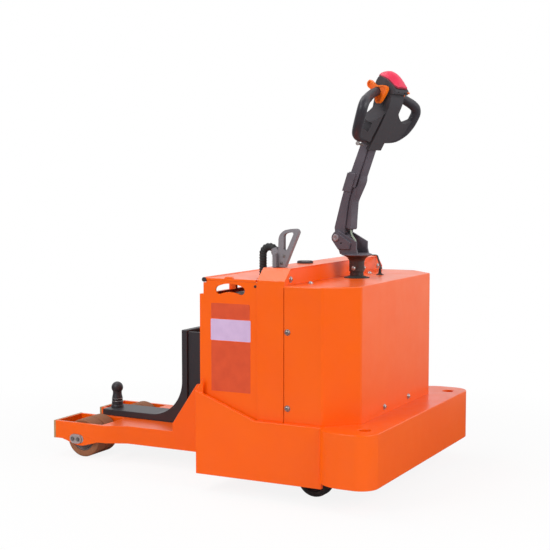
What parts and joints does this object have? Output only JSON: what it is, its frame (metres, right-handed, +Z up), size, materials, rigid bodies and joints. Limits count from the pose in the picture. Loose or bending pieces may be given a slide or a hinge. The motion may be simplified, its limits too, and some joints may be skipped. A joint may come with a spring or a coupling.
{
  "type": "walk-behind electric tow tractor",
  "caption": "Walk-behind battery tow tractor: low roller legs with a tow pin, battery body with lid, rounded hood and bumper, steered drive wheel and a tilting tiller.",
  "frame": {"origin": "on the floor under the middle of the bounding box", "axes": "+X towards the tiller and bumper, +Y to the left hand as seen from the tow end looking along +X, +Z up"},
  "size_m": [1.364, 0.94, 1.3645],
  "materials": {
    "paint": "satin",
    "dark_paint": "textured",
    "steel": "satin",
    "cast_case": "matte",
    "battery_case": "satin",
    "grey_plastic": "matte",
    "black_plastic": "matte",
    "orange_plastic": "gloss",
    "red_plastic": "gloss",
    "lead_rubber": "matte",
    "drive_tread": "matte",
    "roller_tread": "matte",
    "caster_rubber": "matte"
  },
  "bodies": {
    "chassis": {"side_plate_right": "paint", "side_plate_left": "paint", "front_wall": "paint", "battery_floor": "paint", "drive_deck": "paint", "portal_frame": "paint", "hood": "paint", "bumper": "paint", "leg_right": "paint", "leg_left": "paint", "roller_axle_right": "steel", "roller_axle_left": "steel", "hitch_bracket": "dark_paint", "hitch_column": "dark_paint", "tow_pin": "dark_paint", "battery": "battery_case", "battery_gate_right": "paint", "battery_gate_left": "paint", "gate_top_right": "paint", "gate_top_left": "paint", "lid_hinge_rod": "dark_paint", "power_connector": "grey_plastic", "connector_handle": "grey_plastic", "battery_lead": "lead_rubber", "charge_gauge": "black_plastic", "post_collar": "dark_paint", "turn_ring": "steel", "caster_mounts": "dark_paint"},
    "lid": {"battery_lid": "paint"},
    "steer": {"steer_post": "dark_paint", "tiller_yoke": "dark_paint", "drive_unit": "cast_case", "traction_motor": "cast_case"},
    "drive_wheel": {"drive_tyre": "drive_tread", "drive_hub": "steel"},
    "tiller": {"tiller_arm": "dark_paint", "tiller_head": "black_plastic", "head_grips": "black_plastic", "speed_paddles": "orange_plastic", "belly_button": "red_plastic"},
    "roller_right": {"roller_hub_right": "steel", "roller_tread_right": "roller_tread"},
    "roller_left": {"roller_hub_left": "steel", "roller_tread_left": "roller_tread"},
    "caster_fork_right": {"caster_fork_right": "steel"},
    "caster_fork_left": {"caster_fork_left": "steel"},
    "caster_wheel_right": {"caster_wheel_right": "caster_rubber"},
    "caster_wheel_left": {"caster_wheel_left": "caster_rubber"}
  },
  "joints": [
    {"name": "steer", "type": "hinge", "parent": "chassis", "child": "steer", "pos_m": [0.429, 0, 0.3], "axis": [0, 0, 1], "range_deg": [-79, 101]},
    {"name": "drive_wheel", "type": "hinge", "parent": "steer", "child": "drive_wheel", "pos_m": [0.429, 0, 0.125], "axis": [0.1908, 0.9816, 0], "continuous": true},
    {"name": "tiller_tilt", "type": "hinge", "parent": "steer", "child": "tiller", "pos_m": [0.37697, 0.01011, 0.815], "axis": [0.1908, 0.9816, 0], "range_deg": [0, 58], "stiffness_Nm_per_rad": 30, "springref_deg": -34.38},
    {"name": "roller_right", "type": "hinge", "parent": "chassis", "child": "roller_right", "pos_m": [-0.566, -0.144, 0.069], "axis": [0, 1, 0], "continuous": true},
    {"name": "roller_left", "type": "hinge", "parent": "chassis", "child": "roller_left", "pos_m": [-0.566, 0.144, 0.069], "axis": [0, 1, 0], "continuous": true},
    {"name": "caster_swivel_right", "type": "hinge", "parent": "chassis", "child": "caster_fork_right", "pos_m": [0.453, -0.308, 0.138], "axis": [0, 0, 1], "continuous": true},
    {"name": "caster_swivel_left", "type": "hinge", "parent": "chassis", "child": "caster_fork_left", "pos_m": [0.453, 0.308, 0.138], "axis": [0, 0, 1], "continuous": true},
    {"name": "caster_wheel_right", "type": "hinge", "parent": "caster_fork_right", "child": "caster_wheel_right", "pos_m": [0.425, -0.308, 0.06], "axis": [0, 1, 0], "continuous": true},
    {"name": "caster_wheel_left", "type": "hinge", "parent": "caster_fork_left", "child": "caster_wheel_left", "pos_m": [0.425, 0.308, 0.06], "axis": [0, 1, 0], "continuous": true},
    {"name": "battery_lid", "type": "hinge", "parent": "chassis", "child": "lid", "pos_m": [0.067, 0, 0.69], "axis": [0, -1, 0], "range_deg": [0, 95]}
  ]
}
